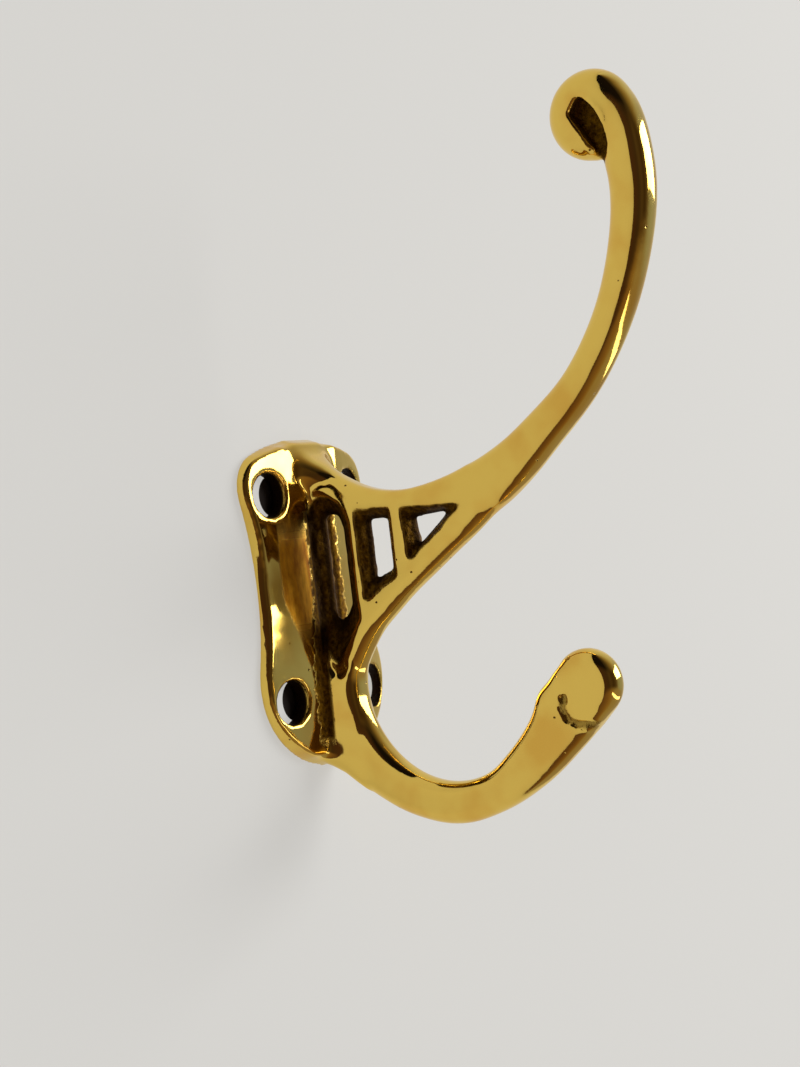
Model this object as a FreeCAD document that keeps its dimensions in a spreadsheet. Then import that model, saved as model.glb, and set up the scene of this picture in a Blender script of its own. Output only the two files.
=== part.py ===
import FreeCAD, Part
import math
import os

from FreeCAD import Base

# A double robe hook, cast in brass as one piece. +X runs across the plate, +Z is up, and the
# wall is the plane y = 0. The hook stands out towards -Y. The origin is the middle of the
# plate's back, half way between the upper and the lower pair of screw holes.

doc = FreeCAD.newDocument("double_robe_hook")

# Driving sizes, in millimetres and degrees
SIZES = [
    ("hole_pitch_up", 30.0, "from the upper to the lower pair of screw holes"),
    ("hole_pitch_across", 20.2, "between the two holes of a pair"),
    ("hole_dia", 6.4, "screw hole"),
    ("plate_top", 23.2, "top of the plate above the origin"),
    ("plate_bottom", 25.4, "bottom of the plate below the origin"),
    ("upper_lobe_half", 15.15, "half the plate's width at its upper lobes"),
    ("upper_lobe_up", 16.0, "height of the upper lobes' widest place"),
    ("upper_lobe_corner", 5.5, "corner radius of the upper lobes"),
    ("lower_lobe_half", 14.9, "half the plate's width at its lower lobes"),
    ("lower_lobe_down", 12.6, "depth of the lower lobes' widest place"),
    ("lower_lobe_corner", 11.0, "corner radius of the lower lobes"),
    ("waist_draw", 1.8, "how far the waist is drawn in from the narrower pair of lobes"),
    ("waist_up", 1.0, "height of the waist"),
    ("plate_crown", 3.6, "plate's height off the wall along its middle"),
    ("plate_rim", 1.8, "plate's height off the wall at its rim"),
    ("plate_end_fall", 0.5, "how much lower the face is at the plate's top and bottom"),
    ("rim_draft", 14.0, "how far the plate's side leans in"),
    ("rim_wall", 2.4, "width of the rim that rests on the wall"),
    ("hollow_depth", 0.7, "depth of the hollow in the plate's back"),
    ("boss_wall", 1.6, "metal left round each screw hole in that hollow"),
    ("web_thick", 4.44, "thickness of the web and the lower arm"),
    ("inner_round", 1.5, "rounding along the top of the web and the upper arm"),
    ("outer_round", 2.05, "rounding along the front of the web and the lower arm"),
    ("arm_root_out", 32.15, "middle of the upper arm's root, out from the wall"),
    ("arm_root_up", 12.5, "middle of the upper arm's root, above the origin"),
    ("arm_root_deep", 8.1, "upper arm's depth at its root"),
    ("arm_slim_deep", 5.5, "upper arm's depth at its slimmest"),
    ("arm_top_deep", 7.2, "upper arm's depth under the curl"),
    ("arm_top_thick", 5.8, "upper arm's thickness under the curl"),
    ("curl_out", 55.35, "middle of the curl, out from the wall"),
    ("curl_up", 60.1, "middle of the curl, above the origin"),
    ("curl_dia", 12.4, "curl seen from the side"),
    ("curl_thick", 7.0, "curl across"),
    ("curl_notch_deep", 2.6, "depth of the hollow in each side of the curl"),
    ("throat_out", 7.9, "nearest place of the throat to the wall"),
    ("throat_down", 14.3, "depth of that place below the origin"),
    ("bight_out", 22.0, "lowest place inside the lower hook, out from the wall"),
    ("bight_down", 28.6, "depth of that place below the origin"),
    ("bight_deep", 6.1, "lower arm's depth under the bight"),
    ("bud_out", 45.0, "middle of the bud at the lower arm's end, out from the wall"),
    ("bud_down", 16.0, "depth of the bud's middle below the origin"),
    ("bud_dia", 10.0, "bud seen from the side"),
    ("groove_radius", 3.7, "curve of the groove behind the bud"),
    ("groove_wide", 1.4, "width of that groove"),
]

sheet = doc.addObject("Spreadsheet::Sheet", "Sizes")
for row, (alias, value, meaning) in enumerate(SIZES, start=1):
    sheet.set("A%d" % row, meaning)
    sheet.set("B%d" % row, str(value))
    sheet.setAlias("B%d" % row, alias)
waist_row = len(SIZES) + 1
sheet.set("A%d" % waist_row, "half the plate's width at its waist")
sheet.set("B%d" % waist_row, "=min(upper_lobe_half; lower_lobe_half) - waist_draw")
sheet.setAlias("B%d" % waist_row, "waist_half")
doc.recompute()


def size(alias):
    return float(sheet.get(alias))


def front_point(x, up):
    return Base.Vector(x, up, 0)


def side_point(out, up):
    return Base.Vector(out, up, 0)


# A side sketch is drawn with its x axis out from the wall and its y axis up.
OUT = Base.Vector(0, -1, 0)
UP = Base.Vector(0, 0, 1)
SIDE_TURN = FreeCAD.Rotation(OUT, UP, OUT.cross(UP), "ZXY")


def side_placement(x):
    return FreeCAD.Placement(Base.Vector(x, 0, 0), SIDE_TURN)


def body_sketch(body, name, label, role):
    sketch = body.newObject("Sketcher::SketchObject", name)
    sketch.Label = label
    plane = [feature for feature in body.Origin.OriginFeatures if feature.Role == role][0]
    sketch.AttachmentSupport = [(plane, "")]
    sketch.MapMode = "FlatFace"
    return sketch


def free_sketch(name, label, geometry, placement):
    sketch = doc.addObject("Sketcher::SketchObject", name)
    sketch.Label = label
    sketch.addGeometry(geometry, False)
    sketch.Placement = placement
    return sketch


def plate_outline(inset):
    # Half the outline is a chain of tangent arcs: top, upper corner, two waist arcs that meet
    # at the waist, lower corner, bottom. The other half is its mirror.
    top = size("plate_top") - inset
    bottom = -size("plate_bottom") + inset
    waist = size("waist_half") - inset
    waist_up = size("waist_up")
    up_r = size("upper_lobe_corner") - inset
    up_c = front_point(size("upper_lobe_half") - size("upper_lobe_corner"), size("upper_lobe_up"))
    low_r = size("lower_lobe_corner") - inset
    low_c = front_point(size("lower_lobe_half") - size("lower_lobe_corner"), -size("lower_lobe_down"))

    def end_arc(edge_up, corner, radius):
        # An arc centred on the middle line that touches the corner arc from outside it
        gap = abs(edge_up - corner.y)
        big = (corner.x ** 2 + gap ** 2 - radius ** 2) / (2 * (gap - radius))
        centre = front_point(0, edge_up - math.copysign(big, edge_up))
        join = corner + (corner - centre).normalize() * radius
        return big, centre, join

    def waist_arc(corner, radius):
        # A hollow arc that leaves the waist straight up or down and touches the corner arc
        near = waist - corner.x
        gap = corner.y - waist_up
        big = (near ** 2 + gap ** 2 - radius ** 2) / (2 * (radius - near))
        centre = front_point(waist + big, waist_up)
        join = corner + (centre - corner).normalize() * radius
        return big, centre, join

    def arc(start, centre, radius, end, side):
        middle = centre + ((start + end) * 0.5 - centre).normalize() * radius
        flip = [front_point(side * point.x, point.y) for point in (start, middle, end)]
        return Part.Arc(*flip)

    top_r, top_c, top_join = end_arc(top, up_c, up_r)
    bottom_r, bottom_c, bottom_join = end_arc(bottom, low_c, low_r)
    high_r, high_c, high_join = waist_arc(up_c, up_r)
    deep_r, deep_c, deep_join = waist_arc(low_c, low_r)
    waist_point = front_point(waist, waist_up)
    outline = []
    for side in (1, -1):
        outline += [
            arc(front_point(0, top), top_c, top_r, top_join, side),
            arc(top_join, up_c, up_r, high_join, side),
            arc(high_join, high_c, high_r, waist_point, side),
            arc(waist_point, deep_c, deep_r, deep_join, side),
            arc(deep_join, low_c, low_r, bottom_join, side),
            arc(bottom_join, bottom_c, bottom_r, front_point(0, bottom), side),
        ]
    return outline


def make_plate():
    body = doc.addObject("PartDesign::Body", "PlateBlank")
    body.Label = "plate_blank"
    sketch = body_sketch(body, "PlateOutline", "plate_outline", "XZ_Plane")
    sketch.addGeometry(plate_outline(0.0), False)
    doc.recompute()
    pad = body.newObject("PartDesign::Pad", "PlatePad")
    pad.Profile = sketch
    pad.setExpression("Length", "Sizes.plate_crown")
    pad.setExpression("TaperAngle", "-Sizes.rim_draft")
    doc.recompute()

    # The crowned face is part of a wide ring's outer side, so it falls off towards every edge.
    crown = doc.addObject("Part::Torus", "PlateCrown")
    crown.Label = "plate_crown"
    across = "(Sizes.upper_lobe_half ^ 2 / (2 * (Sizes.plate_crown - Sizes.plate_rim)))"
    tall = "(((Sizes.plate_top + Sizes.plate_bottom) / 2) ^ 2 / (2 * Sizes.plate_end_fall))"
    crown.setExpression("Radius2", across)
    crown.setExpression("Radius1", "%s - %s" % (tall, across))
    crown.setExpression("Placement.Base.y", "%s - Sizes.plate_crown" % tall)
    crown.setExpression("Placement.Base.z", "(Sizes.plate_top - Sizes.plate_bottom) / 2")
    crown.Placement = FreeCAD.Placement(Base.Vector(0, 0, 0), FreeCAD.Rotation(Base.Vector(0, 1, 0), 90))
    doc.recompute()

    plate = doc.addObject("Part::MultiCommon", "Plate")
    plate.Label = "plate"
    plate.Shapes = [body, crown]
    doc.recompute()
    return plate


# Each screw hole's side, right or left of the middle, and its level, above or below it
SCREW_PLACES = [(-1, 1), (1, 1), (-1, -1), (1, -1)]


def screw_rod(name, label, radius, side, level):
    # A rod through one of the four screw positions; radius is an expression.
    rod = doc.addObject("Part::Cylinder", name)
    rod.Label = label
    rod.setExpression("Radius", radius)
    rod.setExpression("Height", "Sizes.plate_crown * 3")
    rod.setExpression("Placement.Base.x", "%d * Sizes.hole_pitch_across / 2" % side)
    rod.setExpression("Placement.Base.y", "Sizes.plate_crown")
    rod.setExpression("Placement.Base.z", "%d * Sizes.hole_pitch_up / 2" % level)
    rod.Placement = FreeCAD.Placement(
        Base.Vector(0, 0, 0), FreeCAD.Rotation(Base.Vector(1, 0, 0), 90))
    return rod


def make_hollow():
    # The hollow leaves a flat rim and a boss round each screw hole to rest on the wall.
    body = doc.addObject("PartDesign::Body", "BackHollow")
    body.Label = "back_hollow"
    sketch = body_sketch(body, "HollowOutline", "hollow_outline", "XZ_Plane")
    sketch.addGeometry(plate_outline(size("rim_wall")), False)
    doc.recompute()
    pad = body.newObject("PartDesign::Pad", "HollowPad")
    pad.Profile = sketch
    pad.setExpression("Length", "Sizes.hollow_depth")
    doc.recompute()
    rods = [screw_rod("BossRod%d" % number, "boss_rod_%d" % number,
                      "Sizes.hole_dia / 2 + Sizes.boss_wall", *place)
            for number, place in enumerate(SCREW_PLACES, start=1)]
    doc.recompute()
    bosses = doc.addObject("Part::Compound", "Bosses")
    bosses.Label = "bosses"
    bosses.Links = rods
    doc.recompute()
    hollow = doc.addObject("Part::Cut", "Hollow")
    hollow.Label = "hollow"
    hollow.Base = body
    hollow.Tool = bosses
    doc.recompute()
    return hollow


def make_screw_holes():
    holes = [screw_rod("ScrewHole%d" % number, "screw_hole_%d" % number, "Sizes.hole_dia / 2", *place)
             for number, place in enumerate(SCREW_PLACES, start=1)]
    doc.recompute()
    return holes


def bow(start, end, share, bulge=0.0):
    # A point a share of the way from start to end, pushed to the left by bulge lengths
    run = end - start
    left = side_point(-run.y, run.x)
    return start + run * share + left * bulge


def heading(angle):
    turn = math.radians(angle)
    return side_point(math.cos(turn), math.sin(turn))


def arc_along(start, way, end):
    # The arc from start to end that sets out in the direction way, with its last direction
    chord = end - start
    turn = math.atan2(way.x * chord.y - way.y * chord.x, way.dot(chord))
    across = side_point(chord.y, -chord.x) * (math.tan(turn / 2) / 2)
    leaving = heading(math.degrees(math.atan2(chord.y, chord.x) + turn))
    return Part.Arc(start, (start + end) * 0.5 + across, end), leaving


def smooth_arcs(points, start_angle, end_angle):
    # Two tangent arcs join each point to the next, so that the whole line is smooth.
    ways = [heading(start_angle)]
    for before, here, after in zip(points, points[1:], points[2:]):
        came = here - before
        goes = after - here
        ways.append((came * goes.Length ** 2 + goes * came.Length ** 2).normalize())
    ways.append(heading(end_angle))
    arcs = []
    for here, after, way, last in zip(points, points[1:], ways, ways[1:]):
        chord = after - here
        total = way + last
        bend = 2 * (1 - way.dot(last))
        reach = chord.dot(total)
        length = chord.Length ** 2
        arm = length / (2 * reach) if bend < 1e-6 else (
            (math.sqrt(reach ** 2 + bend * length) - reach) / bend)
        joint = (here + way * arm + after - last * arm) * 0.5
        first, turned = arc_along(here, way, joint)
        second, turned = arc_along(joint, turned, after)
        arcs += [first, second]
    return arcs


# The upper arm's slope at its root, and the share of its length where it is slimmest
ROOT_ANGLE = 27.0
SLIM_FROM = 0.38
SLIM_TO = 0.48

# The outer corners' shares of the arm's depth and of half its thickness, and the share of the
# arm's length over which they grow from the web's rounding to that
OUTER_DEEP = 0.66
OUTER_WIDE = 0.95
OUTER_GROWTH = 0.36

# Short arcs in each round corner of the arm's sections, and in each arc of the curl's section
CORNER_ARCS = 5
CURL_ARCS = 3


def arm_root():
    # The upper arm leaves the web square to its own direction.
    middle = side_point(size("arm_root_out"), size("arm_root_up"))
    half = heading(ROOT_ANGLE + 90) * (size("arm_root_deep") / 2)
    return middle + half, middle - half


def web_outline():
    # From the side: along the top from the plate to the arm's root, down the front into the
    # throat, round the bight and over the bud, and home under the lower arm.
    root_out = (size("hollow_depth") + size("plate_rim")) / 2
    top_start = side_point(root_out, size("plate_top") - size("plate_rim"))
    top_end, front_start = arm_root()
    top_shares = [(0.06, -0.008), (0.16, -0.054), (0.27, -0.109), (0.40, -0.148), (0.59, -0.155),
                  (0.82, -0.092)]
    top = [top_start] + [bow(top_start, top_end, *s) for s in top_shares] + [top_end]
    line = smooth_arcs(top, -15, 23)
    line.append(Part.LineSegment(top_end, front_start))

    throat = side_point(size("throat_out"), -size("throat_down"))
    bight = side_point(size("bight_out"), -size("bight_down"))
    keel = bight + side_point(0.5, -size("bight_deep"))
    bud = side_point(size("bud_out"), -size("bud_down"))
    bud_start = bud + heading(155) * (size("bud_dia") / 2)
    bud_end = bud + heading(-48) * (size("bud_dia") / 2)
    front_shares = [(0.32, -0.047), (0.60, -0.080), (0.81, -0.078)]
    front = [front_start] + [bow(front_start, throat, *s) for s in front_shares] + [throat]
    bight_shares = [(0.20, -0.125), (0.50, -0.190), (0.78, -0.140)]
    front += [bow(throat, bight, *s) for s in bight_shares] + [bight]
    rise_shares = [(0.20, -0.110), (0.45, -0.118), (0.66, -0.081), (0.88, 0.008)]
    front += [bow(bight, bud_start, *s) for s in rise_shares] + [bud_start]
    line += smooth_arcs(front, 215, 65)
    line += smooth_arcs([bud_start, bud + heading(53) * (size("bud_dia") / 2), bud_end], 65, -138)

    home = side_point(root_out, -size("plate_bottom") + 0.35)
    fall_shares = [(0.22, 0.049), (0.52, 0.088), (0.75, 0.075)]
    under = [bud_end] + [bow(bud_end, keel, *s) for s in fall_shares] + [keel]
    back_shares = [(0.34, 0.083), (0.63, 0.067), (0.84, 0.020)]
    under += [bow(keel, home, *s) for s in back_shares] + [home]
    line += smooth_arcs(under, -138, 152)
    line.append(Part.LineSegment(home, top_start))
    return line


def make_web():
    body = doc.addObject("PartDesign::Body", "Web")
    body.Label = "web_and_lower_arm"
    sketch = body_sketch(body, "WebOutline", "web_outline", "YZ_Plane")
    sketch.AttachmentOffset = FreeCAD.Placement(
        Base.Vector(0, 0, 0), FreeCAD.Rotation(Base.Vector(0, 1, 0), 180))
    sketch.addGeometry(web_outline(), False)
    doc.recompute()
    pad = body.newObject("PartDesign::Pad", "WebPad")
    pad.Profile = sketch
    pad.setExpression("Length", "Sizes.web_thick")
    pad.Midplane = True
    doc.recompute()

    # Every long edge is rounded, those along the top less than those a garment hangs on.
    top_level = arm_root()[0].y - 4
    side = size("web_thick") / 2
    blend = pad
    for name, radius, above in (("FrontRound", "outer_round", False), ("TopRound", "inner_round", True)):
        edges = []
        for number, edge in enumerate(blend.Shape.Edges, start=1):
            box = edge.BoundBox
            on_side = box.XLength < 0.001 and abs(abs(box.Center.x) - side) < 0.001
            long_edge = on_side and edge.Curve.TypeId != "Part::GeomLine"
            if long_edge and (box.ZMin > top_level) == above:
                edges.append("Edge%d" % number)
        rounded = body.newObject("PartDesign::Fillet", name)
        rounded.Base = (blend, edges)
        rounded.setExpression("Radius", "Sizes." + radius)
        doc.recompute()
        blend = rounded
    return body


def arm_section(number, centre, way, deep, thick, growth):
    # A flat-sided section with its corners rounded, square to the arm's own direction. The outer
    # corners are ovals that grow up the arm.
    scale = thick / size("web_thick")
    half = thick / 2
    inner_r = size("inner_round") * scale
    outer_r = size("outer_round") * scale
    outer_deep = outer_r + (OUTER_DEEP * deep - outer_r) * growth
    outer_wide = outer_r + (OUTER_WIDE * half - outer_r) * growth

    def corner(x_side, up_side, wide, tall, start):
        # Points round a quarter turn from the angle start, two for each short arc
        middle = Base.Vector(x_side * (half - wide), up_side * (deep / 2 - tall), 0)
        turns = [start + 90.0 * step / (2 * CORNER_ARCS) for step in range(2 * CORNER_ARCS + 1)]
        return [middle + Base.Vector(heading(turn).x * wide, heading(turn).y * tall, 0)
                for turn in turns]

    corners = [corner(1, 1, inner_r, inner_r, 0), corner(-1, 1, inner_r, inner_r, 90),
               corner(-1, -1, outer_wide, outer_deep, 180),
               corner(1, -1, outer_wide, outer_deep, 270)]
    geometry = []
    for here, after in zip(corners, corners[1:] + corners[:1]):
        geometry += [Part.Arc(*here[step:step + 3]) for step in range(0, 2 * CORNER_ARCS, 2)]
        geometry.append(Part.LineSegment(here[-1], after[0]))
    across = Base.Vector(1, 0, 0)
    upward = across.cross(OUT * way.x + UP * way.y)
    turn = FreeCAD.Rotation(across, upward, across.cross(upward), "ZXY")
    return free_sketch("ArmSection%d" % number, "arm_section_%d" % number, geometry,
                       FreeCAD.Placement(OUT * centre.x + UP * centre.y, turn))


def make_upper_arm():
    # The arm is a loft through sections on a curve that climbs from the web and turns in to the
    # curl. It is deepest at its root, slimmest half way up and grows thicker towards the curl.
    root = side_point(size("arm_root_out"), size("arm_root_up"))
    curl = side_point(size("curl_out"), size("curl_up"))
    neck = curl + side_point(0.64, -0.50) * (size("curl_dia") / 2)
    last = curl + side_point(0.22, 0.20) * (size("curl_dia") / 2)
    shares = [(0.105, -0.058), (0.22, -0.103), (0.34, -0.144), (0.47, -0.164), (0.60, -0.163),
              (0.74, -0.138), (0.87, -0.092)]
    stations = [root] + [bow(root, neck, *s) for s in shares] + [neck, last]
    spine = Part.BSplineCurve()
    spine.interpolate(Points=stations, InitialTangent=heading(ROOT_ANGLE), FinalTangent=heading(150))
    slim = size("arm_slim_deep")
    count = 19
    sections = []
    for number in range(count):
        share = number / (count - 1)
        at = spine.parameterAtDistance(spine.length() * share)
        way = spine.tangent(at)[0]
        deep = slim
        if share < SLIM_FROM:
            deep += (size("arm_root_deep") - slim) * (1 - share / SLIM_FROM) ** 2
        if share > SLIM_TO:
            deep += (size("arm_top_deep") - slim) * ((share - SLIM_TO) / (1 - SLIM_TO)) ** 1.3
        thick = size("web_thick") + (size("arm_top_thick") - size("web_thick")) * share ** 2
        grown = min(1.0, share / OUTER_GROWTH)
        growth = grown ** 2 * (3 - 2 * grown)
        sections.append(arm_section(number + 1, spine.value(at), way, deep, thick, growth))
    doc.recompute()
    arm = doc.addObject("Part::Loft", "UpperArm")
    arm.Label = "upper_arm"
    arm.Sections = sections
    arm.Solid = True
    arm.Ruled = False
    arm.MaxDegree = 3
    doc.recompute()
    return arm


def make_curl():
    # The arm's end is an oval section turned about an axis across the hook.
    radius = size("curl_dia") / 2
    half = size("curl_thick") / 2
    near, crest, far = front_point(-half, 0), front_point(0, radius), front_point(half, 0)
    oval = []
    for arc in smooth_arcs([near, crest, far], 90, -90):
        step = (arc.LastParameter - arc.FirstParameter) / (2 * CURL_ARCS)
        points = [arc.value(arc.FirstParameter + step * number) for number in range(2 * CURL_ARCS + 1)]
        oval += [Part.Arc(*points[number:number + 3]) for number in range(0, 2 * CURL_ARCS, 2)]
    placement = FreeCAD.Placement(OUT * size("curl_out") + UP * size("curl_up"),
                                  FreeCAD.Rotation(Base.Vector(1, 0, 0), 90))
    sketch = free_sketch("CurlSection", "curl_section", oval + [Part.LineSegment(far, near)], placement)
    doc.recompute()
    curl = doc.addObject("Part::Revolution", "Curl")
    curl.Label = "curl"
    curl.Source = sketch
    curl.Axis = Base.Vector(1, 0, 0)
    curl.setExpression("Base.y", "-Sizes.curl_out")
    curl.setExpression("Base.z", "Sizes.curl_up")
    curl.Angle = 360
    curl.Solid = True
    doc.recompute()
    return curl


def make_curl_notches():
    # The eye of the curl: a crescent hollow in each side, open below where the curl's end
    # comes back to the arm. A thin wall of metal stays between the two.
    radius = size("curl_dia") / 2
    centre = side_point(size("curl_out"), size("curl_up"))
    top, bulge, foot, back, heel = [centre + side_point(*s) * radius for s in (
        (-0.08, 0.36), (0.40, -0.33), (0.24, -1.13), (-0.04, -0.49), (-0.34, 0.03))]
    notches = []
    for side, name, label in ((1, "NotchRight", "right_notch"), (-1, "NotchLeft", "left_notch")):
        crescent = [Part.Arc(top, bulge, foot), Part.LineSegment(foot, back),
                    Part.LineSegment(back, heel), Part.LineSegment(heel, top)]
        floor = side_placement(side * (size("curl_thick") / 2 - size("curl_notch_deep")))
        sketch = free_sketch(name + "Outline", label + "_outline", crescent, floor)
        notch = doc.addObject("Part::Extrusion", name)
        notch.Label = label
        notch.Base = sketch
        notch.DirMode = "Custom"
        notch.Dir = Base.Vector(side, 0, 0)
        notch.setExpression("LengthFwd", "Sizes.curl_thick")
        notch.Solid = True
        notches.append(notch)
    doc.recompute()
    return notches


def make_bud_grooves():
    # A groove in each side, curving round behind the bud: an eight-sided profile turned about
    # an axis across the hook
    start = 172.0
    sweep = 128.0
    middle = side_point(size("bud_out") + 0.02 * size("bud_dia"),
                        -size("bud_down") - 0.26 * size("bud_dia"))
    across = Base.Vector(1, 0, 0)
    reach = OUT * heading(start).x + UP * heading(start).y
    turn = FreeCAD.Rotation(reach, across, reach.cross(across), "ZXY")
    grooves = []
    for side, name, label in ((1, "GrooveRight", "right_groove"), (-1, "GrooveLeft", "left_groove")):
        centre = Base.Vector(size("groove_radius"), side * size("web_thick") / 2, 0)
        rim = [centre + heading(22.5 + 45 * step) * (size("groove_wide") / 2) for step in range(8)]
        profile = [Part.LineSegment(*pair) for pair in zip(rim, rim[1:] + rim[:1])]
        home = OUT * middle.x + UP * middle.y
        sketch = free_sketch(name + "Profile", label + "_profile", profile,
                             FreeCAD.Placement(home, turn))
        groove = doc.addObject("Part::Revolution", name)
        groove.Label = label
        groove.Source = sketch
        groove.Axis = OUT.cross(UP)
        groove.Base = home
        groove.Angle = sweep
        groove.Solid = True
        grooves.append(groove)
    doc.recompute()
    return grooves


def web_point(out_share, up_share):
    # Shares of the way from the wall to the arm's root, and from the throat up to it
    low = -size("throat_down")
    return side_point(size("arm_root_out") * out_share, low + (size("arm_root_up") - low) * up_share)


def make_windows():
    # Three windows pierce the web. Each is widest at the faces and narrows to a ridge half way
    # through. First its corners at the face, then at the ridge.
    outlines = [
        ([(0.093, 1.02), (0.171, 1.078), (0.268, 1.015), (0.308, 0.90), (0.308, 0.377),
          (0.227, 0.243), (0.162, 0.116), (0.100, 0.235)],
         [(0.146, 0.922), (0.162, 0.951), (0.212, 0.940), (0.230, 0.870), (0.233, 0.466),
          (0.205, 0.414), (0.168, 0.399), (0.146, 0.437)]),
        ([(0.336, 0.974), (0.532, 0.959), (0.535, 0.582), (0.345, 0.455)],
         [(0.392, 0.899), (0.479, 0.899), (0.479, 0.631), (0.392, 0.593)]),
        ([(0.585, 0.955), (0.921, 0.933), (0.607, 0.653)],
         [(0.631, 0.884), (0.802, 0.903), (0.641, 0.750)]),
    ]
    beyond = 1.3
    windows = []
    for number, (face, ridge) in enumerate(outlines, start=1):
        face_points = [web_point(*s) for s in face]
        ridge_points = [web_point(*s) for s in ridge]
        flared = [r + (f - r) * beyond for f, r in zip(face_points, ridge_points)]
        sections = []
        for place, points in ((-beyond, flared), (0, ridge_points), (beyond, flared)):
            sides = [Part.LineSegment(*pair) for pair in zip(points, points[1:] + points[:1])]
            sections.append(free_sketch("WindowOutline", "window_%d_outline" % number, sides,
                                        side_placement(place * size("web_thick") / 2)))
        doc.recompute()
        window = doc.addObject("Part::Loft", "Window%d" % number)
        window.Label = "window_%d" % number
        window.Sections = sections
        window.Solid = True
        window.Ruled = True
        windows.append(window)
    doc.recompute()
    return windows


plate = make_plate()
hollow = make_hollow()
holes = make_screw_holes()
web = make_web()
arm = make_upper_arm()
curl = make_curl()
notches = make_curl_notches()
grooves = make_bud_grooves()
windows = make_windows()

metal = doc.addObject("Part::MultiFuse", "Metal")
metal.Label = "metal"
metal.Shapes = [plate, web, arm, curl]
metal.Refine = True
doc.recompute()
openings = doc.addObject("Part::Compound", "Openings")
openings.Label = "openings"
openings.Links = [hollow] + holes + notches + grooves + windows
doc.recompute()
hook = doc.addObject("Part::Cut", "HookCasting")
hook.Label = "hook_casting"
hook.Base = metal
hook.Tool = openings
hook.Refine = True
doc.recompute()

for obj in doc.Objects:
    if "Invalid" in obj.State or "Error" in obj.State:
        raise RuntimeError("%s did not build: %s" % (obj.Label, obj.getStatusString()))
if hook.Shape.isNull() or not hook.Shape.isValid() or len(hook.Shape.Solids) != 1:
    raise RuntimeError("the casting is not one whole, valid solid")

os.makedirs("parts", exist_ok=True)
hook.Shape.exportStep("parts/%s.step" % hook.Label)
box = hook.Shape.optimalBoundingBox(False, False)
print("%s: %.0f cubic mm, %.1f x %.1f x %.1f mm" % (
    hook.Label, hook.Shape.Volume, box.XLength, box.YLength, box.ZLength))
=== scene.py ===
import math

import bpy
import numpy as np
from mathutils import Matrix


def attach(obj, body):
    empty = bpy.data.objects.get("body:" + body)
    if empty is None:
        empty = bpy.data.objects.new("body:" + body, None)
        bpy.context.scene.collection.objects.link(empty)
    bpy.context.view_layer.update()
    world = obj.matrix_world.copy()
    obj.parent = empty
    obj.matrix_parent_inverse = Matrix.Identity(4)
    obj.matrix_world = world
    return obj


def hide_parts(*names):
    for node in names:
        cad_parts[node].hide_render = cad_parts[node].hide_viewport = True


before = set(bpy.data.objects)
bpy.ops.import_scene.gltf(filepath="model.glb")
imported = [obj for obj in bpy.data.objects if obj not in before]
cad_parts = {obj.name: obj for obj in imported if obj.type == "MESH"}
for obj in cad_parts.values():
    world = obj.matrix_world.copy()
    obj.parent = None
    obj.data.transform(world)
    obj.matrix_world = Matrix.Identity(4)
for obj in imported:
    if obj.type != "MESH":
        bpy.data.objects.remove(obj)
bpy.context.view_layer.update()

import openvdb as vdb
from mathutils import Matrix, Vector

# A polished cast brass robe hook on a pale wall. +X runs across its plate, +Z is up and the wall
# is the plane y = 0; the hook stands out towards -Y. In the side view a place is given by how far
# it lies out from the wall and up from the origin. Lengths are in millimetres unless they say
# metres.

bl_info = {
    "name": "Double robe hook",
    "version": (1, 0, 0),
    "blender": (4, 5, 0),
    "location": "3D View > Sidebar > Robe Hook",
    "description": "Builds a polished cast brass robe hook on its packed frame",
    "category": "Object",
}

MM = 0.001
NODE = "hook_casting"


def arc(middle, radius, start, end, steps):
    """The corners of an arc between two angles in degrees."""
    turns = [math.radians(start + (end - start) * step / steps) for step in range(steps + 1)]
    return [(middle[0] + radius * math.cos(turn), middle[1] + radius * math.sin(turn)) for turn in turns]


# Half the thickness of the web, and its three windows in the side view
WEB_HALF = 2.22
WINDOWS = [
    [(2.99, 13.04), (5.5, 14.59), (8.62, 12.9), (9.9, 9.82), (9.9, -4.2), (7.3, -7.79),
     (5.21, -11.19), (3.21, -8.0)],
    [(10.8, 11.8), (17.1, 11.4), (17.2, 1.3), (11.09, -2.11)],
    [(18.81, 11.29), (29.61, 10.7), (19.52, 3.2)],
]
# The web flares towards the plate, below its windows and above them: how steeply, from how far
# out and over what length. Then the share of it at each height, its edges' rounding, and how far
# it stops short of the first window
LOW_SLOPE, LOW_START, LOW_RUN = 0.28, 8.0, 5.0
TOP_SLOPE, TOP_START, TOP_RUN = 0.6, 7.0, 4.0
LOW_SHARE = [(-20, 1.0), (-12, 0.7), (-9, 0.0)]
TOP_RISE = (14.5, 18.0)
FLARE_ROUND = 1.5
PANE_GAP = 0.5
# The curl's domed side: its middle, its radius and half its thickness. Then the eye hollowed
# into each side of it, whose edge towards the arm is an arc
CURL = (55.35, 60.1)
CURL_ROUND = 6.2
CURL_HALF = 3.5
EYE = arc((51.41, 56.76), 6.55, 58.3, -34.0, 6) + [(55.10, 57.06), (53.24, 60.29)]
# The groove behind the bud, as a line in the side view, and half its width
GROOVE = [(41.9, -17.5), (41.6, -18.9), (42.3, -20.4), (43.8, -21.2), (46.9, -21.45)]
GROOVE_HALF = 0.62
# Where the bud's neck is filled, and where its side is dressed flat round the groove, each with
# the rounding of its edges
NECK = [(42.7, -12.2), (41.2, -13.1), (39.55, -14.3), (38.3, -15.95), (37.15, -17.9), (36.4, -19.1),
        (39.5, -19.5), (43.0, -16.0)]
DRESSED = [(39.3, -18.5), (40.5, -15.6), (44.5, -15.0), (47.0, -16.5), (48.5, -19.4), (47.0, -20.9),
           (45.3, -22.5), (43.0, -23.4), (39.8, -22.8)]
FILLS = [(NECK, 1.4), (DRESSED, 1.5)]
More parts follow.
